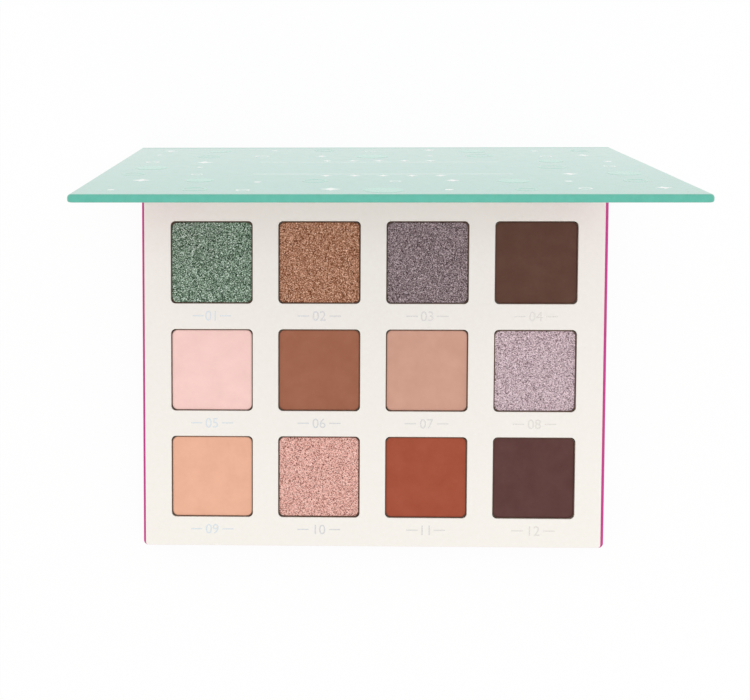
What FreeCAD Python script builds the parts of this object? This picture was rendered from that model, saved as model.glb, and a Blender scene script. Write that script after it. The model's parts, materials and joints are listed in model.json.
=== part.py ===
"""Eyeshadow palette: a book-style paperboard case with a pressed-powder tray.

A bottom cover, a spine and a lid are three wrapped boards joined by two paper creases. The tray on the
bottom cover is a stack of die-cut boards that holds tin pans of pressed powder under a cream face card.
Units are millimetres. X runs to the right, Y to the rear (the spine side) and Z up. The origin is on the
table under the middle of the tray, which is glued a little to the left of the covers' middle. The case is
drawn partly open, as it stands on the table.
"""

import FreeCAD
import Part

import math
import os

V = FreeCAD.Vector
X_AXIS = V(1, 0, 0)
Y_AXIS = V(0, 1, 0)

# Pans and powder
columns = 4
rows = 3
pan_pitch = 32.0
pan_size = 24.2
pan_depth = 4.2
pan_wall = 0.16
pan_corner = 1.8
pan_foot_round = 0.8
pan_gap = 0.1
powder_drop = 0.2
powder_gap = 0.02
powder_edge_round = 0.2
rim_drop = 0.45
glue_pad_size = 15.0
glue_pad_thickness = 0.35

# Tray
opening_corner = 1.4
side_margin = 7.85
front_margin = 8.6
rear_margin = 8.6
tray_corner = 0.8
tray_floor_thickness = 1.8
spacer_thickness = 3.2
card_thickness = 1.0
card_edge_round = 0.15

# Case covers
paper = 0.15
cover_board = 1.5
side_overhang = 2.6
front_overhang = 2.1
cover_middle = 0.4
cover_corner = 1.5
outer_edge_round = 0.9
inner_edge_round = 0.4
lining_inset = 0.8
closed_gap = 0.1
spine_gap = 0.4
crease_gap = 0.25
crease_end_inset = 0.3
lid_open_angle = 78.3

# Mirror
mirror_border = 12.0
mirror_thickness = 0.8
mirror_tape = 0.1
mirror_gap = 0.3
mirror_corner = 2.0
mirror_frame_thickness = 0.8

# Magnets
magnet_radius = 3.0
magnet_gap = 0.1
tray_magnet_thickness = 1.5
lid_magnet_thickness = 0.8
magnet_spread = 64.0

# Sizes that follow from the ones above
opening = pan_size + 2 * pan_gap
cover_thickness = cover_board + 2 * paper
tray_width = (columns - 1) * pan_pitch + opening + 2 * side_margin
tray_depth = (rows - 1) * pan_pitch + opening + front_margin + rear_margin
pan_rise = glue_pad_thickness + pan_depth
tray_height = tray_floor_thickness + spacer_thickness + pan_rise + rim_drop
carrier_layer = (pan_rise + rim_drop - card_thickness) / 2
cover_width = tray_width + 2 * side_overhang
cover_front = -tray_depth / 2 - front_overhang
crease_reach = cover_thickness / 2 + crease_gap
hinge_y = tray_depth / 2 + spine_gap + cover_thickness / 2
cover_rear = hinge_y - crease_reach
cover_length = cover_rear - cover_front
spine_pitch = tray_height + closed_gap + cover_thickness
spine_length = spine_pitch - 2 * crease_reach
lid_board = cover_board - mirror_frame_thickness
tray_floor_z = cover_thickness
spacer_z = tray_floor_z + tray_floor_thickness
carrier_z = spacer_z + spacer_thickness
card_z = carrier_z + 2 * carrier_layer
card_top = card_z + card_thickness
pan_z = carrier_z + glue_pad_thickness
grid_y = (front_margin - rear_margin) / 2
magnet_y = -tray_depth / 2 + front_margin / 2
spine_axis = V(cover_middle, hinge_y, cover_thickness / 2)
spine_tilt = 90.0 - lid_open_angle
spine_way = V(0, math.cos(math.radians(spine_tilt)), math.sin(math.radians(spine_tilt)))
lid_axis = spine_axis + spine_way * spine_pitch


def save(shape, name):
    """Write one piece, or one group of like pieces, under its own name."""
    shape.exportStep("parts/" + name + ".step")
    solids = len(shape.Solids)
    print(f"{name}: {solids} solid(s), {shape.Volume:.1f} mm3, valid {shape.isValid()}")


def moved(shape, offset):
    """A copy of a shape, shifted."""
    copy = shape.copy()
    copy.translate(offset)
    return copy


def turned(shape, centre, axis, angle):
    """A copy of a shape, turned about an axis through a point, in degrees."""
    copy = shape.copy()
    copy.rotate(centre, axis, angle)
    return copy


def slab(width, y0, y1, z0, z1):
    """A plain slab, centred in X."""
    return Part.makeBox(width, y1 - y0, z1 - z0, V(-width / 2, y0, z0))


def edges_at(shape, test):
    """The edges whose every vertex passes a test."""
    return [e for e in shape.Edges if all(test(v.Point) for v in e.Vertexes)]


def upright_edges(shape):
    """The edges that run along Z."""
    return [e for e in shape.Edges if len(e.Vertexes) == 2 and abs(e.tangentAt(e.FirstParameter).z) > 0.999]


def plate(width, depth, z0, z1, corner):
    """A flat plate with round corners in plan, centred on the Z axis."""
    box = slab(width, -depth / 2, depth / 2, z0, z1)
    return box.makeFillet(corner, upright_edges(box))


def near(a, b):
    return abs(a - b) < 1e-6


# Pan positions, read from the left of the rear row to the right of the front row
pan_centres = [
    V((c - (columns - 1) / 2) * pan_pitch, grid_y + ((rows - 1) / 2 - r) * pan_pitch, 0)
    for r in range(rows)
    for c in range(columns)
]
magnet_centres = [V(side * magnet_spread / 2, magnet_y, 0) for side in (-1, 1)]


def openings(z0, z1):
    """The square cut-outs that the pans stand in, as tools to cut with."""
    tool = plate(opening, opening, z0, z1, opening_corner)
    return [moved(tool, centre) for centre in pan_centres]


def magnet_tools(z0, z1):
    """The round pockets for the magnets, as tools to cut with."""
    return [Part.makeCylinder(magnet_radius + magnet_gap, z1 - z0, c + V(0, 0, z0)) for c in magnet_centres]


def soft_slab(width, y0, y1, z0, z1, trim, free_front):
    """A cover panel's outline, inset by trim, with soft free edges and square edges at its creases."""
    body = slab(width, y0, y1, z0, z1)
    if free_front:
        front = edges_at(body, lambda p: near(p.y, y0))
        corners = [e for e in front if not near(e.Vertexes[0].Z, e.Vertexes[1].Z)]
        body = body.makeFillet(cover_corner - trim, corners)

    def free(edge):
        ends = [v.Point.y for v in edge.Vertexes]
        at_rear = all(near(y, y1) for y in ends)
        at_front = all(near(y, y0) for y in ends) and not free_front
        return not (at_rear or at_front)

    for level, size in ((z0, outer_edge_round), (z1, inner_edge_round)):
        rim = [e for e in edges_at(body, lambda p, z=level: near(p.z, z)) if free(e)]
        body = body.makeFillet(size - trim, rim)
    return body


def cover_panel(length, free_front):
    """Envelope, board core and lining of one cover panel.

    The outer face lies on Z = 0 and the crease edge on Y = 0. The lining covers the inner face and turns
    down over each crease edge, and the wrap fills what is left of the envelope.
    """
    front = -length
    core_front = front + paper
    lining_front = front + lining_inset if free_front else front
    envelope = soft_slab(cover_width, front, 0, 0, cover_thickness, 0, free_front)
    core_width = cover_width - 2 * paper
    core_top = cover_thickness - paper
    core = soft_slab(core_width, core_front, -paper, paper, core_top, paper, free_front)
    lining_width = cover_width - 2 * lining_inset
    sheet = slab(lining_width, lining_front, 0, core_top, cover_thickness)
    lining = sheet.fuse(slab(lining_width, -paper, 0, paper, cover_thickness))
    if not free_front:
        lining = lining.fuse(slab(lining_width, front, core_front, paper, cover_thickness))
    return envelope, core, lining.removeSplitter()


def crease_strip(radius, fold):
    """One paper layer of a crease: a flat flap, a bend of the fold angle about X, and a second flat flap."""
    width = cover_width - 2 * crease_end_inset
    flap = slab(width, -crease_reach, 0, -radius, paper - radius)
    far_flap = turned(slab(width, 0, crease_reach, -radius, paper - radius), V(), X_AXIS, fold)
    section = Part.makePlane(width, paper, V(-width / 2, 0, -radius), V(0, 1, 0), X_AXIS)
    if section.BoundBox.ZMin < -radius - paper / 2:
        section.translate(V(0, 0, paper))
    bend = section.revolve(V(), X_AXIS, fold)
    return flap.fuse([bend, far_flap]).removeSplitter()


def crease(fold):
    """The wrap layer and the lining layer of one crease, about its axis on X."""
    outer = cover_thickness / 2
    return crease_strip(outer, fold), crease_strip(outer - paper, fold)


def on_bottom(shape):
    """A panel's own frame to the bottom cover's place."""
    return moved(shape, V(cover_middle, cover_rear, 0))


def on_spine(shape):
    """A panel's own frame to the spine's place with the case open as drawn."""
    upright = turned(shape, V(), X_AXIS, 90)
    top = spine_axis.z + spine_pitch - crease_reach
    closed = moved(upright, V(cover_middle, hinge_y + cover_thickness / 2, top))
    return turned(closed, spine_axis, X_AXIS, -lid_open_angle)


def on_lid(shape):
    """A panel's own frame to the lid's place with the case open as drawn."""
    flipped = turned(shape, V(), Y_AXIS, 180)
    top = spine_axis.z + spine_pitch + cover_thickness / 2
    closed = moved(flipped, V(cover_middle, cover_rear, top))
    return turned(closed, spine_axis, X_AXIS, -lid_open_angle)


def build_bottom_cover():
    """The board under the tray, its outer wrap and its lining."""
    envelope, core, lining = cover_panel(cover_length, True)
    save(on_bottom(core), "bottom_board")
    save(on_bottom(lining), "bottom_lining")
    save(on_bottom(envelope.cut([core, lining])), "bottom_wrap")


def build_spine():
    """The narrow board between the two creases, its wrap and its lining."""
    envelope, core, lining = cover_panel(spine_length, False)
    save(on_spine(core), "spine_board")
    save(on_spine(lining), "spine_lining")
    save(on_spine(envelope.cut([core, lining])), "spine_wrap")


def build_lid():
    """The lid: outer board, mirror frame, lining, mirror on its tape, closing magnets and wrap."""
    envelope, core, lining = cover_panel(cover_length, True)
    frame_z = paper + lid_board
    frame_top = cover_thickness - paper
    window_width = cover_width - 2 * mirror_border
    window_depth = cover_length - 2 * mirror_border
    window_middle = V(0, -cover_length / 2, 0)

    def window(z0, z1, gap):
        width = window_width - 2 * gap
        depth = window_depth - 2 * gap
        return moved(plate(width, depth, z0, z1, mirror_corner - gap), window_middle)

    cut_out = window(frame_z, cover_thickness, 0)
    lower = slab(cover_width, -cover_length, 0, 0, frame_z)
    board = core.common(lower)
    magnets = []
    pockets = []
    for centre in magnet_centres:
        foot = V(cover_middle - centre.x, centre.y - cover_rear, frame_top - lid_magnet_thickness)
        magnets.append(Part.makeCylinder(magnet_radius, lid_magnet_thickness, foot))
        pockets.append(Part.makeCylinder(magnet_radius + magnet_gap, lid_magnet_thickness, foot))
    frame = core.cut([lower, cut_out, *pockets])
    mirror_z = frame_z + mirror_tape
    save(on_lid(board.cut(pockets)), "lid_board")
    save(on_lid(frame), "mirror_frame")
    save(on_lid(lining.cut(cut_out)), "lid_lining")
    save(on_lid(window(frame_z, mirror_z, mirror_gap)), "mirror_tape")
    save(on_lid(window(mirror_z, mirror_z + mirror_thickness, mirror_gap)), "mirror")
    save(on_lid(Part.makeCompound(magnets)), "lid_magnets")
    save(on_lid(envelope.cut([core, lining])), "lid_wrap")


def build_creases():
    """The two paper creases that the case folds on, each a wrap layer bonded to a lining layer."""
    wrap, lining = crease(spine_tilt)
    save(moved(wrap, spine_axis), "rear_crease_wrap")
    save(moved(lining, spine_axis), "rear_crease_lining")
    wrap, lining = crease(90)
    save(moved(turned(wrap, V(), X_AXIS, spine_tilt), lid_axis), "lid_crease_wrap")
    save(moved(turned(lining, V(), X_AXIS, spine_tilt), lid_axis), "lid_crease_lining")


def build_tray():
    """The stack of boards that carries the pans, its paper band, its magnets and the face card."""
    inner_width = tray_width - 2 * paper
    inner_depth = tray_depth - 2 * paper
    inner_corner = tray_corner - paper
    upper_z = carrier_z + carrier_layer
    magnet_z = card_z - tray_magnet_thickness

    save(plate(inner_width, inner_depth, tray_floor_z, spacer_z, inner_corner), "tray_floor")
    save(plate(inner_width, inner_depth, spacer_z, carrier_z, inner_corner), "tray_spacer")
    lower = plate(inner_width, inner_depth, carrier_z, upper_z, inner_corner)
    save(lower.cut(openings(carrier_z, upper_z)), "lower_pan_carrier")
    upper = plate(inner_width, inner_depth, upper_z, card_z, inner_corner)
    save(upper.cut(openings(upper_z, card_z) + magnet_tools(magnet_z, card_z)), "upper_pan_carrier")
    magnet = Part.makeCylinder(magnet_radius, tray_magnet_thickness, V(0, 0, magnet_z))
    save(Part.makeCompound([moved(magnet, c) for c in magnet_centres]), "tray_magnets")
    band = plate(tray_width, tray_depth, tray_floor_z, card_z, tray_corner)
    save(band.cut(plate(inner_width, inner_depth, tray_floor_z, card_z, inner_corner)), "tray_band")
    card = plate(tray_width, tray_depth, card_z, card_top, tray_corner).cut(openings(card_z, card_top))
    top_edges = edges_at(card, lambda p: near(p.z, card_top))
    save(card.makeFillet(card_edge_round, top_edges), "face_card")


def pan():
    """One stamped tin pan, standing on Z = 0 about the Z axis."""
    cup = plate(pan_size, pan_size, 0, pan_depth, pan_corner)
    cup = cup.makeFillet(pan_foot_round, edges_at(cup, lambda p: near(p.z, 0)))
    inner = pan_size - 2 * pan_wall
    hollow = plate(inner, inner, pan_wall, pan_depth, pan_corner - pan_wall)
    hollow = hollow.makeFillet(pan_foot_round - pan_wall, edges_at(hollow, lambda p: near(p.z, pan_wall)))
    return cup.cut(hollow)


def powder():
    """One pressed cake that fills a pan to just under its rim."""
    size = pan_size - 2 * (pan_wall + powder_gap)
    foot = pan_wall
    top = pan_depth - powder_drop
    cake = plate(size, size, foot, top, pan_corner - pan_wall - powder_gap)
    cake = cake.makeFillet(pan_foot_round - pan_wall, edges_at(cake, lambda p: near(p.z, foot)))
    return cake.makeFillet(powder_edge_round, edges_at(cake, lambda p: near(p.z, top)))


def build_pans():
    """The pans, the powder in them and the glue pads that hold them to the spacer board."""
    tin = pan()
    cake = powder()
    pad_box = slab(glue_pad_size, -glue_pad_size / 2, glue_pad_size / 2, carrier_z, pan_z)
    pads = []
    for number, centre in enumerate(pan_centres, start=1):
        seat = centre + V(0, 0, pan_z)
        save(moved(tin, seat), f"pan_{number:02d}")
        save(moved(cake, seat), f"powder_{number:02d}")
        pads.append(moved(pad_box, centre))
    save(Part.makeCompound(pads), "pan_glue_pads")


os.makedirs("parts", exist_ok=True)
build_bottom_cover()
build_spine()
build_lid()
build_creases()
build_tray()
build_pans()
print(f"tray {tray_width:.1f} x {tray_depth:.1f} x {tray_height:.1f}")
print(f"cover {cover_width:.1f} x {cover_length:.1f}, spine axis {spine_axis}, lid axis {lid_axis}")
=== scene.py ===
"""Looks of an eyeshadow palette: a paperboard case that opens like a book, a tray of square tins of
pressed powder under a cream face card, and a lid with a mirror inside. It stands partly open.
"""

import json
import math
import random

import bmesh
import bpy
from mathutils import Matrix, Vector, noise


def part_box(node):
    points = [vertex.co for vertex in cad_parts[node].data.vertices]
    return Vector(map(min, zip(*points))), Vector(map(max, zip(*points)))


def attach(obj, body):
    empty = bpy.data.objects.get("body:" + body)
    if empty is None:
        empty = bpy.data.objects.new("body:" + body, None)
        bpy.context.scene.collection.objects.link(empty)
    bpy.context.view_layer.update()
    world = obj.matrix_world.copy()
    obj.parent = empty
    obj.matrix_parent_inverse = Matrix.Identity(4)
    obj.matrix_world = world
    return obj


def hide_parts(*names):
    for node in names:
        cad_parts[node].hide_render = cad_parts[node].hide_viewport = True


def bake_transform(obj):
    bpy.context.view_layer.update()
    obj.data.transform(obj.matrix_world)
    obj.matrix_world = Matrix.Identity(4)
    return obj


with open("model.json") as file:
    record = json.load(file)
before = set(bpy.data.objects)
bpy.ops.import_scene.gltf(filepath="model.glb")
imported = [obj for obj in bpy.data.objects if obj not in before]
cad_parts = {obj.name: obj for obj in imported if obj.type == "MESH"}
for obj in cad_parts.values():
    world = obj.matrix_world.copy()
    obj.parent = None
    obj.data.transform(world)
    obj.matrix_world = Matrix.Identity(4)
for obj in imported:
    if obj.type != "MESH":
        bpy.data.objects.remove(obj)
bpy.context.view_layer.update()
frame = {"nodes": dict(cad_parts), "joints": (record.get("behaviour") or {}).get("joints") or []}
nodes = frame["nodes"]

# Bottom cover
# A sheet of greyboard in a wrap of printed pink paper, turned in over its edges, with a pink lining
# glued over the turn-ins. The tray is glued to its inner face, and it lies flat on the table.
mm = 0.001
pink = (210, 70, 153)
pink_deep = (200, 62, 144)


def linear(colour):
    """A colour of 0 to 255 a channel, taken off the sRGB curve as a shader needs it."""
    channels = []
    for value in colour:
        share = value / 255
        channels.append(share / 12.92 if share <= 0.04045 else ((share + 0.055) / 1.055) ** 2.4)
    return (*channels, 1.0)


def shader_of(finish):
    return finish.node_tree.nodes["Principled BSDF"]


def start_finish(name, **plain):
    """A material whose shader has these plain values, with underscores for spaces in their names."""
    finish = bpy.data.materials.new(name)
    finish.use_nodes = True
    for socket, value in plain.items():
        shader_of(finish).inputs[socket.replace("_", " ")].default_value = value
    return finish


def add_node(finish, kind, **plain):
    """A new node of a finish, with these plain values."""
    node = finish.node_tree.nodes.new(kind)
    for socket, value in plain.items():
        node.inputs[socket.replace("_", " ")].default_value = value
    return node


def join(finish, source, target):
    finish.node_tree.links.new(source, target)


def own_place(finish, stretch=(1, 1, 1)):
    """The point on the piece, in its own metres, with lengths multiplied by stretch."""
    mapping = add_node(finish, "ShaderNodeMapping", Scale=stretch)
    join(finish, add_node(finish, "ShaderNodeTexCoord").outputs["Object"], mapping.inputs["Vector"])
    return mapping.outputs["Vector"]


def grain(finish, size, detail=2.0, stretch=(1, 1, 1)):
    """A cloudy pattern of 0 to 1 with grains of about this size."""
    cloud = add_node(finish, "ShaderNodeTexNoise", Scale=1 / size, Detail=detail, Roughness=0.6)
    join(finish, own_place(finish, stretch), cloud.inputs["Vector"])
    return cloud.outputs["Fac"]


def colour_by(finish, pattern, *stops):
    """The base colour runs through these (level, colour) stops as the pattern rises."""
    ramp = add_node(finish, "ShaderNodeValToRGB")
    steps = ramp.color_ramp.elements
    while len(steps) < len(stops):
        steps.new(0.5)
    for step, (level, colour) in zip(steps, stops):
        step.position = level
        step.color = linear(colour)
    join(finish, pattern, ramp.inputs["Fac"])
    join(finish, ramp.outputs["Color"], shader_of(finish).inputs["Base Color"])


def roughness_by(finish, pattern, smooth, rough):
    """The surface goes from smooth to rough as the pattern rises through its middle part."""
    span = add_node(finish, "ShaderNodeMapRange", From_Min=0.3, From_Max=0.7, To_Min=smooth, To_Max=rough)
    join(finish, pattern, span.inputs["Value"])
    join(finish, span.outputs["Result"], shader_of(finish).inputs["Roughness"])


def emboss_by(finish, pattern, depth):
    """The surface rises by depth as the pattern goes from 0 to 1."""
    bump = add_node(finish, "ShaderNodeBump", Strength=1.0, Distance=depth)
    join(finish, pattern, bump.inputs["Height"])
    join(finish, bump.outputs["Normal"], shader_of(finish).inputs["Normal"])


def paint(finish, *names):
    """These nodes of the frame take the finish."""
    for name in names:
        nodes[name].data.materials.clear()
        nodes[name].data.materials.append(finish)


pink_paper = start_finish("pink_paper", Specular_IOR_Level=0.45)
colour_by(pink_paper, grain(pink_paper, 1.6 * mm, detail=6.0), (0.35, pink_deep), (0.65, pink))
roughness_by(pink_paper, grain(pink_paper, 2.5 * mm), smooth=0.36, rough=0.48)
emboss_by(pink_paper, grain(pink_paper, 0.25 * mm, detail=3.0), depth=0.006 * mm)

greyboard = start_finish("greyboard", Specular_IOR_Level=0.2)
board_grain = grain(greyboard, 0.5 * mm, detail=5.0, stretch=(1, 1, 2.5))
colour_by(greyboard, board_grain, (0.3, (118, 112, 104)), (0.5, (150, 144, 134)), (0.72, (176, 170, 160)))
roughness_by(greyboard, grain(greyboard, 0.8 * mm), smooth=0.82, rough=0.95)
emboss_by(greyboard, board_grain, depth=0.03 * mm)

paint(greyboard, "bottom_board")
paint(pink_paper, "bottom_wrap", "bottom_lining")

# Spine
# A narrow greyboard between the two creases. The mint outer wrap of the lid runs on over it, printed
# and covered with a satin film, and the pink lining of the inside runs on under it.
mint = (86, 182, 162)
mint_deep = (80, 176, 156)

mint_laminate = start_finish("mint_laminate", IOR=1.55, Coat_Weight=0.32, Coat_Roughness=0.1)
colour_by(mint_laminate, grain(mint_laminate, 2.0 * mm, detail=6.0), (0.35, mint_deep), (0.65, mint))
roughness_by(mint_laminate, grain(mint_laminate, 3.0 * mm), smooth=0.09, rough=0.15)
emboss_by(mint_laminate, grain(mint_laminate, 1.2 * mm, detail=1.0), depth=0.0012 * mm)

paint(greyboard, "spine_board")
paint(mint_laminate, "spine_wrap")
paint(pink_paper, "spine_lining")

# Creases
# Where no board stiffens it, the wrap bonded to its lining is a strip of bare paper that the case folds
# on. One lies behind the tray and one along the lid, each with a shallow groove beside its boards.
joints = {joint["name"]: joint for joint in frame["joints"]}
spine_axis = Vector(joints["spine_fold"]["pos_m"])
lid_axis = Vector(joints["lid_fold"]["pos_m"])
across = Vector((1, 0, 0))
spine_way = (lid_axis - spine_axis).normalized()
lid_way = across.cross(spine_way)
cover_half_thickness = spine_axis.z
cover_half_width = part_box("lid_wrap")[1].x - lid_axis.x
crease_paper = 0.3 * mm
crease_groove = 0.12 * mm
crease_steps = 10
arc_steps = 24
end_steps = 8
end_drop = crease_paper * 0.98


def crease_profile(fold, reach):
    """(turn, run, groove) of each step along a crease: how far it has turned, how far it lies before or
    after the bend, and how deep its groove is."""
    steps = []
    for i in range(crease_steps):
        share = 1 - i / crease_steps
        steps.append((0.0, -reach * share, crease_groove * math.sin(math.pi * share) ** 2))
    steps += [(fold * i / arc_steps, 0.0, 0.0) for i in range(arc_steps + 1)]
    for i in range(1, crease_steps + 1):
        share = i / crease_steps
        steps.append((fold, reach * share, crease_groove * math.sin(math.pi * share) ** 2))
    return steps


def crease_ends():
    """(place across, drop of the outer face) of each step across a crease, round at both ends as the
    boards' own edges are."""
    edge_round = cover_half_thickness
    stops = []
    for i in range(end_steps + 1):
        drop = end_drop * i / end_steps
        rise = edge_round - drop
        stops.append((cover_half_width - edge_round + math.sqrt(edge_round**2 - rise**2), drop))
    left = [(-place, drop) for place, drop in reversed(stops)]
    return left + stops


def place_piece(name, sheet, *finishes):
    """A new object from a finished mesh, in these finishes."""
    mesh = bpy.data.meshes.new(name)
    sheet.to_mesh(mesh)
    sheet.free()
    for finish in finishes:
        mesh.materials.append(finish)
    piece = bpy.data.objects.new(name, mesh)
    bpy.context.scene.collection.objects.link(piece)
    return piece


def crease_strip(name, axis, first_way, fold, reach):
    """A closed strip of paper, mint outside and pink inside, bent by fold about the axis."""
    strip = bmesh.new()
    first_out = across.cross(first_way) * -1
    ends = crease_ends()
    rows = []
    for turn, run, groove in crease_profile(fold, reach):
        turned = Matrix.Rotation(turn, 3, "X")
        way = turned @ first_way
        out = turned @ first_out
        row = []
        for place, drop in ends:
            outer = cover_half_thickness - drop - groove
            row.append(strip.verts.new(axis + across * place + way * run + out * outer))
        inner = cover_half_thickness - crease_paper - groove / 2
        for place, _ in reversed(ends):
            row.append(strip.verts.new(axis + across * place + way * run + out * inner))
        rows.append(row)
    count = len(rows[0])
    for near, far in zip(rows, rows[1:]):
        for i in range(count):
            j = (i + 1) % count
            face = strip.faces.new((near[i], far[i], far[j], near[j]))
            face.material_index = 0 if i < len(ends) else 1
            face.smooth = True
    strip.faces.new(rows[0])
    strip.faces.new(list(reversed(rows[-1])))
    bmesh.ops.recalc_face_normals(strip, faces=strip.faces)
    return place_piece(name, strip, mint_laminate, pink_paper)


rear = Vector((0, 1, 0))
rear_fold = rear.angle(spine_way)
lid_fold = spine_way.angle(lid_way)
crease_reach = spine_axis.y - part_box("bottom_wrap")[1].y

rear_crease = crease_strip("rear_crease", spine_axis, rear, rear_fold, crease_reach)
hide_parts("rear_crease_wrap", "rear_crease_lining")
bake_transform(rear_crease)

lid_crease = crease_strip("lid_crease", lid_axis, spine_way, lid_fold, crease_reach)
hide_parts("lid_crease_wrap", "lid_crease_lining")
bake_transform(lid_crease)

# Tray
# Four die-cut greyboards glued in a stack: a floor, a spacer and two carriers with an opening for each
# pan. A band of pink paper is glued round the stack, and two magnets are let into the upper carrier.
nickel = start_finish("nickel_magnet", Metallic=1.0)
colour_by(nickel, grain(nickel, 1.2 * mm, detail=4.0), (0.3, (188, 184, 174)), (0.7, (206, 203, 196)))
roughness_by(nickel, grain(nickel, 0.6 * mm, detail=4.0), smooth=0.18, rough=0.32)
emboss_by(nickel, grain(nickel, 0.3 * mm), depth=0.003 * mm)

paint(greyboard, "tray_floor", "tray_spacer", "lower_pan_carrier", "upper_pan_carrier")
paint(pink_paper, "tray_band")
paint(nickel, "tray_magnets")

# Pans
# Square tins, drawn from thin plate with round corners. A pad of hot glue under each one holds it to the
# spacer board, and only its rim shows, in the gap between the powder and the card, coloured dark as
# painted shade.
glue = start_finish("hot_glue", Subsurface_Weight=0.2, Subsurface_Radius=(2 * mm, 2 * mm, 1 * mm))
colour_by(glue, grain(glue, 2.0 * mm), (0.3, (214, 204, 176)), (0.7, (232, 226, 206)))
roughness_by(glue, grain(glue, 1.0 * mm), smooth=0.35, rough=0.5)
emboss_by(glue, grain(glue, 1.5 * mm, detail=3.0), depth=0.05 * mm)

drawn_stretch = (1, 1, 0.2)
# The tin is coloured far darker and browner than bright tin: painted shade for the dark line in the gap
# round each powder.
tinplate = start_finish("tinplate", Metallic=1.0)
colour_by(tinplate, grain(tinplate, 0.8 * mm, detail=5.0), (0.3, (112, 90, 76)), (0.7, (130, 106, 90)))
drawn_marks = grain(tinplate, 0.4 * mm, detail=4.0, stretch=drawn_stretch)
roughness_by(tinplate, drawn_marks, smooth=0.38, rough=0.55)
emboss_by(tinplate, grain(tinplate, 0.2 * mm, stretch=drawn_stretch), depth=0.004 * mm)

pan_count = sum(name.startswith("powder_") for name in nodes)
paint(glue, "pan_glue_pads")
for number in range(1, pan_count + 1):
    paint(tinplate, f"pan_{number:02d}")

# Powders
# Cakes of loose powder pressed into the tins. The mattes are smooth with a fine grain, and the shimmers
# are coarse with mica flakes that lie at all angles and leave a crumbly edge.
cake_corner = 1.62 * mm
cake_edge_round = 0.2 * mm
cake_foot_round = 0.6 * mm
cake_cells = 76
cake_crown = 0.07 * mm
edge_turns = 4
foot_step = 0.15 * mm
calm_edge = 0.5 * mm
crumb_size = 0.5 * mm
wave_height = 0.01 * mm
wave_size = 6 * mm
seed_steps = (7.1, 3.3, 1.7)
cloud_levels = 4
flake_size = 0.2 * mm
plain_flakes = 0.7


def round_corner(x, y, half, corner):
    """Moves a point of a square into the same square with round corners, and says which way is out."""
    straight = half - corner
    over_x = max(abs(x) - straight, 0)
    over_y = max(abs(y) - straight, 0)
    if over_x == 0 or over_y == 0:
        out = Vector((math.copysign(over_x > 0, x), math.copysign(over_y > 0, y), 0))
        return x, y, out
    out = Vector((math.copysign(over_x, x), math.copysign(over_y, y), 0)).normalized()
    reach = max(over_x, over_y)
    new_x = math.copysign(straight, x) + out.x * reach
    new_y = math.copysign(straight, y) + out.y * reach
    return new_x, new_y, out


def cake_mesh(low, high, relief, relief_size, crumble, seed):
    """A pressed cake that fills the box from low to high: an uneven top on a fine grid, a round edge,
    upright sides and a flat foot."""
    cake = bmesh.new()
    middle = (low + high) / 2
    half = (high.x - low.x) / 2
    flat_half = half - cake_edge_round
    flat_corner = cake_corner - cake_edge_round
    shift = Vector([seed * step for step in seed_steps])
    grid = {}
    ways = {}
    for i in range(cake_cells + 1):
        for j in range(cake_cells + 1):
            x, y, out = round_corner(
                flat_half * (2 * i / cake_cells - 1),
                flat_half * (2 * j / cake_cells - 1),
                flat_half,
                flat_corner,
            )
            from_edge = flat_half - max(abs(x), abs(y))
            calm = min(1.0, from_edge / calm_edge)
            crown = cake_crown * (1 - (x / half) ** 2) * (1 - (y / half) ** 2)
            spot = Vector((x, y, 0))
            coarse = noise.noise(spot / relief_size + shift)
            fine = noise.noise(spot / (relief_size / 2) + shift)
            waves = wave_height * noise.noise(spot / wave_size + shift)
            top = high.z + crown + waves + calm * relief * (coarse + fine / 2)
            grid[i, j] = cake.verts.new((middle.x + x, middle.y + y, top))
            ways[i, j] = out
    for i in range(cake_cells):
        for j in range(cake_cells):
            cake.faces.new((grid[i, j], grid[i + 1, j], grid[i + 1, j + 1], grid[i, j + 1]))
    last = cake_cells
    rim = [(i, 0) for i in range(last)] + [(last, j) for j in range(last)]
    rim += [(i, last) for i in range(last, 0, -1)] + [(0, j) for j in range(last, 0, -1)]
    ring = [grid[spot] for spot in rim]
    tops = [vert.co.copy() for vert in ring]
    turns = [math.pi / 2 * k / edge_turns for k in range(1, edge_turns + 1)]
    levels = [(cake_edge_round * math.sin(t), cake_edge_round * (1 - math.cos(t)), None) for t in turns]
    levels.append((cake_edge_round, 0, low.z + cake_foot_round))
    levels.append((cake_edge_round - foot_step, 0, low.z + foot_step))
    levels.append((cake_edge_round - cake_foot_round, 0, low.z))
    for reach, drop, level in levels:
        fresh = []
        for spot, top in zip(rim, tops):
            ragged = crumble * max(0.0, noise.noise(top / crumb_size + shift)) if level is None else 0.0
            point = top + ways[spot] * (reach - ragged * reach)
            point.z = top.z - drop - ragged * drop if level is None else level
            fresh.append(cake.verts.new(point))
        for k in range(len(ring)):
            n = (k + 1) % len(ring)
            cake.faces.new((ring[n], ring[k], fresh[k], fresh[n]))
        ring = fresh
    cake.faces.new(list(reversed(ring)))
    bmesh.ops.recalc_face_normals(cake, faces=cake.faces)
    for face in cake.faces:
        face.smooth = True
    return cake


def lighter(colour, levels):
    """A colour made lighter by so many levels of 255, or darker where they are below 0."""
    return [min(255, max(0, value + levels)) for value in colour]


def matte_finish(name, colour):
    """Pressed pigment and talc: dull, even, with a fine grain and faint clouds from the press."""
    finish = start_finish(name, Specular_IOR_Level=0.12, Sheen_Weight=0.03, Sheen_Roughness=0.5)
    clouds = grain(finish, 5.0 * mm, detail=8.0)
    pale = lighter(colour, cloud_levels)
    deep = lighter(colour, -cloud_levels)
    colour_by(finish, clouds, (0.3, deep), (0.5, colour), (0.7, pale))
    roughness_by(finish, grain(finish, 1.0 * mm), smooth=0.8, rough=0.95)
    emboss_by(finish, grain(finish, 0.16 * mm, detail=3.0), depth=0.012 * mm)
    return finish


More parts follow.
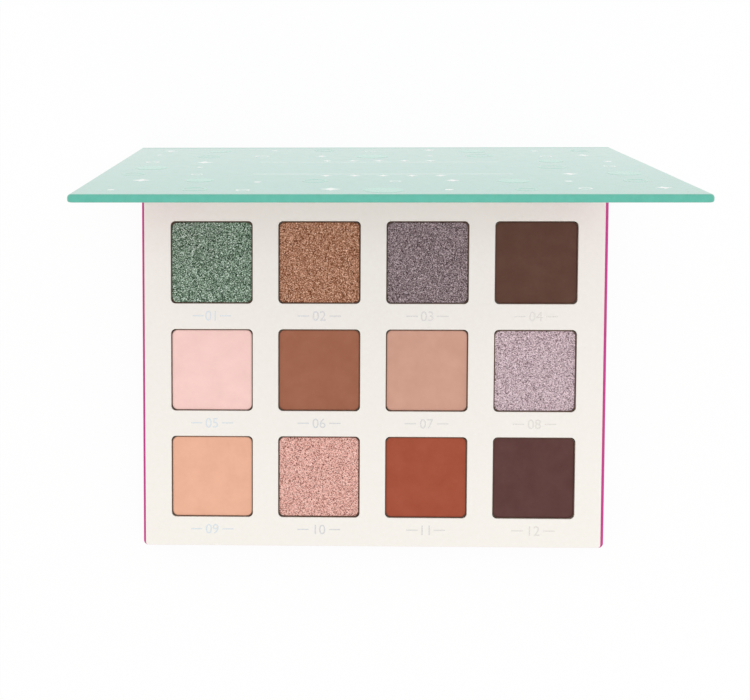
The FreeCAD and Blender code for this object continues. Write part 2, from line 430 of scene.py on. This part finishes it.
def shimmer_finish(name, colour, dark_flecks_and_shade, glint):
    """Pressed mica: every flake has its own tilt and its own brightness, from darker below the colour to
    a glint above it, and the plain ones keep within half of that. The spread is partly the mica's own
    variation and partly painted light: painted glints and painted shade of flakes turned from the light."""
    finish = start_finish(name, Metallic=0.85, Specular_IOR_Level=0.5)
    flakes = add_node(finish, "ShaderNodeTexVoronoi", Scale=1 / flake_size, Randomness=1.0)
    join(finish, own_place(finish), flakes.inputs["Vector"])
    parts = add_node(finish, "ShaderNodeSeparateColor")
    join(finish, flakes.outputs["Color"], parts.inputs["Color"])
    # Each flake's base colour is lighter or darker at random: painted glints and painted shade, partly
    # also the mica's own variation.
    colour_by(
        finish,
        parts.outputs["Red"],
        (0, lighter(colour, -dark_flecks_and_shade)),
        (0.5 - plain_flakes / 2, lighter(colour, -dark_flecks_and_shade / 2)),
        (0.5, colour),
        (0.5 + plain_flakes / 2, lighter(colour, glint / 2)),
        (1, lighter(colour, glint)),
    )
    roughness_by(finish, parts.outputs["Green"], smooth=0.32, rough=0.5)
    emboss_by(finish, parts.outputs["Blue"], depth=0.04 * mm)
    return finish


# Name, colour, and how many levels the flakes go below and above it, partly the mica's own variation and
# partly painted shade and painted glints
shades = (
    ("green_shimmer", (101, 126, 104), 137, 137),
    ("bronze_shimmer", (167, 116, 87), 99, 99),
    ("mauve_grey_shimmer", (129, 113, 116), 94, 94),
    ("dark_brown_matte", (98, 69, 58), 0, 0),
    ("pale_pink_matte", (250, 210, 202), 0, 0),
    ("brown_matte", (163, 104, 80), 0, 0),
    ("rosy_nude_matte", (211, 162, 142), 0, 0),
    ("lilac_silver_shimmer", (205, 183, 189), 136, 52),
    ("peach_matte", (237, 181, 153), 0, 0),
    ("rose_gold_glitter", (235, 180, 168), 154, 44),
    ("burnt_orange_matte", (165, 83, 61), 0, 0),
    ("plum_brown_matte", (95, 63, 60), 0, 0),
)
for number, (shade, colour, dark_flecks_and_shade, glint) in enumerate(shades, start=1):
    node = f"powder_{number:02d}"
    low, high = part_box(node)
    if glint:
        cake = cake_mesh(low, high, relief=0.03 * mm, relief_size=0.55 * mm, crumble=0.5, seed=number)
        finish = shimmer_finish(shade, colour, dark_flecks_and_shade, glint)
    else:
        cake = cake_mesh(low, high, relief=0.003 * mm, relief_size=1.5 * mm, crumble=0.1, seed=number)
        finish = matte_finish(shade, colour)
    powder = place_piece(f"cake_{number:02d}", cake, finish)
    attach(powder, "base")
    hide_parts(node)

# Face card
# A cream card of one millimetre, die-cut with an opening over each pan and glued on top of the tray.
# Its face is uncoated, with the faint mottling of pressed fibre.
cream = (246, 242, 235)
cream_deep = (244, 240, 232)

cream_card = start_finish("cream_card", Specular_IOR_Level=0.3)
colour_by(cream_card, grain(cream_card, 1.2 * mm, detail=8.0), (0.35, cream_deep), (0.65, cream))
roughness_by(cream_card, grain(cream_card, 0.8 * mm), smooth=0.62, rough=0.78)
emboss_by(cream_card, grain(cream_card, 0.22 * mm, detail=4.0), depth=0.008 * mm)

paint(cream_card, "face_card")

# Numbers
# A number between two short rules in front of each pan, stamped on the card in pale holographic foil, a
# film far thinner than the card. Its tint drifts from blue at the left to a warm grey at the right: a
# painted reflection of holographic colour, set by place across the card instead of by the angle of the
# light.
foil_film = 0.02 * mm
number_height = 2.9 * mm
number_drop = 3.75 * mm
rule_length = 3.4 * mm
rule_height = 0.32 * mm
rule_gap = 1.1 * mm
curve_steps = 6
same_point = 1e-5
card_low, card_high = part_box("face_card")


def lay_film(sheet, place, outline, hole=None, film=foil_film):
    """Adds one flat shape of film, laid at place. A hole has as many points as the outline has."""
    loops = [outline] if hole is None else [outline, hole]
    foot = [[sheet.verts.new(place @ Vector((x, y, 0))) for x, y in loop] for loop in loops]
    top = [[sheet.verts.new(place @ Vector((x, y, film))) for x, y in loop] for loop in loops]
    count = len(outline)
    for i in range(count):
        j = (i + 1) % count
        sheet.faces.new((foot[0][i], foot[0][j], top[0][j], top[0][i]))
        if hole is not None:
            sheet.faces.new((foot[1][j], foot[1][i], top[1][i], top[1][j]))
            sheet.faces.new((top[0][i], top[0][j], top[1][j], top[1][i]))
            sheet.faces.new((foot[0][j], foot[0][i], foot[1][i], foot[1][j]))
    if hole is None:
        sheet.faces.new(top[0])
        sheet.faces.new(list(reversed(foot[0])))


def bar(width, height):
    """The outline of a bar about the origin."""
    x = width / 2
    y = height / 2
    return [(-x, -y), (x, -y), (x, y), (-x, y)]


def numeral_mesh(text):
    """A number cut from foil, centred on the origin, with digits of the right height."""
    lettering = bpy.data.curves.new("numeral", "FONT")
    lettering.body = text
    lettering.align_x = "CENTER"
    lettering.resolution_u = curve_steps
    holder = bpy.data.objects.new("numeral", lettering)
    bpy.context.scene.collection.objects.link(holder)
    bpy.context.view_layer.update()
    flat = bpy.data.meshes.new_from_object(holder.evaluated_get(bpy.context.evaluated_depsgraph_get()))
    bpy.data.objects.remove(holder)
    shape = bmesh.new()
    shape.from_mesh(flat)
    bpy.data.meshes.remove(flat)
    bmesh.ops.remove_doubles(shape, verts=shape.verts, dist=same_point)
    raised = bmesh.ops.extrude_face_region(shape, geom=shape.faces[:])
    lifted = [item for item in raised["geom"] if isinstance(item, bmesh.types.BMVert)]
    bottom = min(vert.co.y for vert in shape.verts)
    top = max(vert.co.y for vert in shape.verts)
    size = number_height / (top - bottom)
    for vert in shape.verts:
        vert.co = Vector((vert.co.x, vert.co.y - (bottom + top) / 2, 0)) * size
    for vert in lifted:
        vert.co.z = foil_film
    bmesh.ops.recalc_face_normals(shape, faces=shape.faces)
    return shape


foil = start_finish("holographic_foil", Metallic=1.0)
foil_spot = add_node(foil, "ShaderNodeSeparateXYZ")
join(foil, own_place(foil), foil_spot.inputs["Vector"])
# Painted reflection: the foil's holographic tint follows the place across the card, not the light.
foil_painted_colour_play = add_node(foil, "ShaderNodeMapRange", From_Min=card_low.x, From_Max=card_high.x)
join(foil, foil_spot.outputs["X"], foil_painted_colour_play.inputs["Value"])
colour_by(
    foil,
    foil_painted_colour_play.outputs["Result"],
    (0.15, (222, 230, 235)),
    (0.4, (219, 218, 219)),
    (0.9, (231, 227, 220)),
)
roughness_by(foil, grain(foil, 0.5 * mm, detail=3.0), smooth=0.22, rough=0.36)
emboss_by(foil, grain(foil, 0.3 * mm), depth=0.004 * mm)

foil_sheet = bmesh.new()
for number in range(1, pan_count + 1):
    low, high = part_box(f"pan_{number:02d}")
    spot = Vector(((low.x + high.x) / 2, low.y - number_drop, card_high.z))
    shape = numeral_mesh(f"{number:02d}")
    half_text = max(vert.co.x for vert in shape.verts)
    bmesh.ops.translate(shape, verts=shape.verts, vec=spot)
    stamped = bpy.data.meshes.new("stamped")
    shape.to_mesh(stamped)
    shape.free()
    foil_sheet.from_mesh(stamped)
    bpy.data.meshes.remove(stamped)
    for side in (-1, 1):
        offset = side * (half_text + rule_gap + rule_length / 2)
        lay_film(foil_sheet, Matrix.Translation(spot + across * offset), bar(rule_length, rule_height))
numbers = place_piece("pan_numbers", foil_sheet, foil)
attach(numbers, "base")

# Lid
# A greyboard with a frame of thinner board on its inside, round a mirror, in the mint wrap. A pink lining
# with a window for the mirror covers the frame, and two magnets lie under the lining.
paint(greyboard, "lid_board", "mirror_frame")
paint(mint_laminate, "lid_wrap")
paint(pink_paper, "lid_lining")
paint(nickel, "lid_magnets")

# Mirror
# A plate of silvered glass, cut to fit the window in the lid's frame and lining. A sheet of double-sided
# tape behind it holds it to the lid board.
silvered_glass = start_finish("silvered_glass", Metallic=1.0)
colour_by(silvered_glass, grain(silvered_glass, 25 * mm), (0.3, (240, 243, 243)), (0.7, (244, 246, 246)))
roughness_by(silvered_glass, grain(silvered_glass, 14 * mm, detail=4.0), smooth=0.015, rough=0.04)
emboss_by(silvered_glass, grain(silvered_glass, 30 * mm), depth=0.01 * mm)

white_tape = start_finish("white_tape", Specular_IOR_Level=0.3)
tape_grain = grain(white_tape, 1.5 * mm, detail=4.0)
colour_by(white_tape, tape_grain, (0.3, (226, 224, 216)), (0.7, (238, 237, 232)))
roughness_by(white_tape, grain(white_tape, 0.8 * mm), smooth=0.6, rough=0.75)
emboss_by(white_tape, grain(white_tape, 0.3 * mm), depth=0.02 * mm)

paint(silvered_glass, "mirror")
paint(white_tape, "mirror_tape")

# Lid print
# Ink on the outside of the lid: small white marks over larger pale mint ones, a plain pattern of dots,
# rings and diamonds about a bare panel between two rules.
ink_film = 0.02 * mm
mark_columns = 9
mark_rows = 7
mark_pitch = 15.0 * mm
mark_jitter = 2.5 * mm
mark_least = 0.8 * mm
mark_most = 1.2 * mm
first_row = 0.65
front_margin = 5 * mm
panel_half_width = 40 * mm
panel_rear = 38 * mm
panel_front = 74 * mm
panel_middle = (panel_rear + panel_front) / 2
panel_rule_length = 64 * mm
panel_rule_height = 0.7 * mm
panel_rule_offset = 14 * mm
circle_points = 40
diamond_points = 16
diamond_waist = 0.28
diamond_width = 3.4 * mm
diamond_pitch = 7 * mm
diamond_offset = 1.25
lid_out = spine_way
lid_length = max((vert.co - lid_axis).dot(lid_way) for vert in nodes["lid_wrap"].data.vertices)


def on_lid(x, along):
    """A place on the lid's outer face: x across it, and along from its crease to its front edge."""
    spot = lid_axis + across * x + lid_way * along + lid_out * cover_half_thickness
    axes = Matrix((-across, lid_way, lid_out)).transposed().to_4x4()
    return Matrix.Translation(spot) @ axes


def round_outline(radius):
    """A circle about the origin."""
    turns = [2 * math.pi * i / circle_points for i in range(circle_points)]
    return [(radius * math.cos(turn), radius * math.sin(turn)) for turn in turns]


def diamond(width):
    """A diamond about the origin, its sides drawn in a little."""
    points = []
    for i in range(diamond_points):
        turn = 2 * math.pi * i / diamond_points
        pull = 1 - diamond_waist * abs(math.sin(2 * turn))
        reach = 1 / (abs(math.cos(turn)) + abs(math.sin(turn))) * pull
        points.append((width / 2 * reach * math.cos(turn), width / 2 * reach * math.sin(turn)))
    return points


def ink_finish(name, deep, pale):
    """Glossy ink under the same film as the wrap."""
    finish = start_finish(name, IOR=1.55)
    colour_by(finish, grain(finish, 0.6 * mm, detail=4.0), (0.3, deep), (0.7, pale))
    roughness_by(finish, grain(finish, 2.0 * mm), smooth=0.12, rough=0.2)
    emboss_by(finish, grain(finish, 1.0 * mm, detail=1.0), depth=0.001 * mm)
    return finish


white_ink = ink_finish("white_ink", (240, 246, 244), (250, 252, 251))
pale_ink = ink_finish("pale_mint_ink", (146, 210, 192), (156, 216, 199))

chance = random.Random(12)
white_sheet = bmesh.new()
pale_sheet = bmesh.new()
# Sheet, outline, its width or radius, and that of its hole, all in sizes of the mark
mark_kinds = (
    (white_sheet, diamond, 4.4, None),
    (pale_sheet, round_outline, 4.0, None),
    (white_sheet, round_outline, 0.9, None),
    (pale_sheet, round_outline, 3.2, 2.4),
    (white_sheet, round_outline, 1.7, 1.2),
)
for column in range(mark_columns):
    for row in range(mark_rows):
        x = (column - (mark_columns - 1) / 2) * mark_pitch + chance.uniform(-mark_jitter, mark_jitter)
        along = (row + first_row) * mark_pitch + chance.uniform(-mark_jitter, mark_jitter)
        size = chance.uniform(mark_least, mark_most)
        in_panel = abs(x) < panel_half_width and panel_rear < along < panel_front
        if in_panel or along > lid_length - front_margin:
            continue
        sheet, outline, reach, hole_reach = mark_kinds[(column + 2 * row) % len(mark_kinds)]
        hole = outline(hole_reach * size) if hole_reach else None
        lay_film(sheet, on_lid(x, along), outline(reach * size), hole, film=ink_film)
for offset in (-panel_rule_offset, panel_rule_offset):
    spot = on_lid(0, panel_middle + offset)
    lay_film(white_sheet, spot, bar(panel_rule_length, panel_rule_height), film=ink_film)
    for step in range(-2, 3):
        spot = on_lid(step * diamond_pitch, panel_middle + offset * diamond_offset)
        lay_film(white_sheet, spot, diamond(diamond_width), film=ink_film)
white_print = place_piece("lid_print_white", white_sheet, white_ink)
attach(white_print, "lid")
pale_print = place_piece("lid_print_pale", pale_sheet, pale_ink)
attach(pale_print, "lid")

# Table and light
# A white table in a white studio, with an even glow from all round and one lamp overhead. The table is
# white to the lens and to polished surfaces, and keeps a faint shadow of the case.
floor_size = 6.0
floor_cells = 8
floor_drop = 0.05 * mm
floor_white = 0.9
floor_glow = 0.94
dome_glow = (0.92, 0.911, 0.878)
lamp_tint = (0.86, 0.98, 1.16)
lamp_size = 0.28
lamp_power = 1.58
lamp_place = (0.15, 0.0, 1.0)


def work_out(finish, operation, first, second):
    """One step of arithmetic on two values, kept between 0 and 1."""
    step = add_node(finish, "ShaderNodeMath")
    step.operation = operation
    step.use_clamp = True
    join(finish, first, step.inputs[0])
    join(finish, second, step.inputs[1])
    return step.outputs["Value"]


def seen_directly(finish):
    """1 for rays from the lens, also by way of polished surfaces or glass, else 0."""
    path = add_node(finish, "ShaderNodeLightPath")
    found = path.outputs["Is Camera Ray"]
    for other in ("Is Glossy Ray", "Is Transmission Ray"):
        found = work_out(finish, "MAXIMUM", found, path.outputs[other])
    return work_out(finish, "SUBTRACT", found, path.outputs["Diffuse Depth"])


table = bmesh.new()
bmesh.ops.create_grid(table, x_segments=floor_cells, y_segments=floor_cells, size=floor_size / 2)
bmesh.ops.translate(table, verts=table.verts, vec=(0, 0, -floor_drop))
floor_colour = (floor_white, floor_white, floor_white, 1)
table_white = start_finish("table_white", Base_Color=floor_colour, Roughness=0.9, Specular_IOR_Level=0.0)
glow = add_node(table_white, "ShaderNodeEmission", Strength=1.0)
table_mix = add_node(table_white, "ShaderNodeMixShader")
table_share = add_node(table_white, "ShaderNodeMapRange", To_Max=floor_glow)
join(table_white, seen_directly(table_white), table_share.inputs["Value"])
join(table_white, table_share.outputs["Result"], table_mix.inputs["Fac"])
join(table_white, shader_of(table_white).outputs["BSDF"], table_mix.inputs[1])
join(table_white, glow.outputs["Emission"], table_mix.inputs[2])
table_out = table_white.node_tree.nodes["Material Output"]
join(table_white, table_mix.outputs["Shader"], table_out.inputs["Surface"])
floor = place_piece("table", table, table_white)

studio = bpy.data.worlds.new("studio")
studio.use_nodes = True
dome_colour = add_node(studio, "ShaderNodeMixRGB", Color1=(*dome_glow, 1), Color2=(1, 1, 1, 1))
join(studio, seen_directly(studio), dome_colour.inputs["Fac"])
join(studio, dome_colour.outputs["Color"], studio.node_tree.nodes["Background"].inputs["Color"])
bpy.context.scene.world = studio

overhead = bpy.data.lights.new("overhead", "AREA")
overhead.shape = "SQUARE"
overhead.size = lamp_size
overhead.energy = lamp_power
overhead.color = lamp_tint
overhead_lamp = bpy.data.objects.new("overhead", overhead)
overhead_lamp.location = lamp_place
overhead_lamp.visible_glossy = False
bpy.context.scene.collection.objects.link(overhead_lamp)

# Camera
# The lens looks almost straight down on the tray, from far enough that the lid's outer face only just
# shows. Its picture is shifted to bring the case back to the middle.
image_width = 750
focal_pixels = 1261
eye_place = (-10.8 * mm, 23.61 * mm, 386.45 * mm)
eye_turn = (-3.539, 1.578, 0.106)
eye = bpy.data.cameras.new("camera")
eye.sensor_width = 36.0
eye.lens = focal_pixels * eye.sensor_width / image_width
eye.shift_x = 0.0972
eye.shift_y = 0.0252
eye.clip_start = 0.01
camera = bpy.data.objects.new("camera", eye)
camera.location = eye_place
camera.rotation_euler = [math.radians(turn) for turn in eye_turn]
bpy.context.scene.collection.objects.link(camera)
bpy.context.scene.camera = camera

bpy.context.scene.view_settings.view_transform = "Standard"
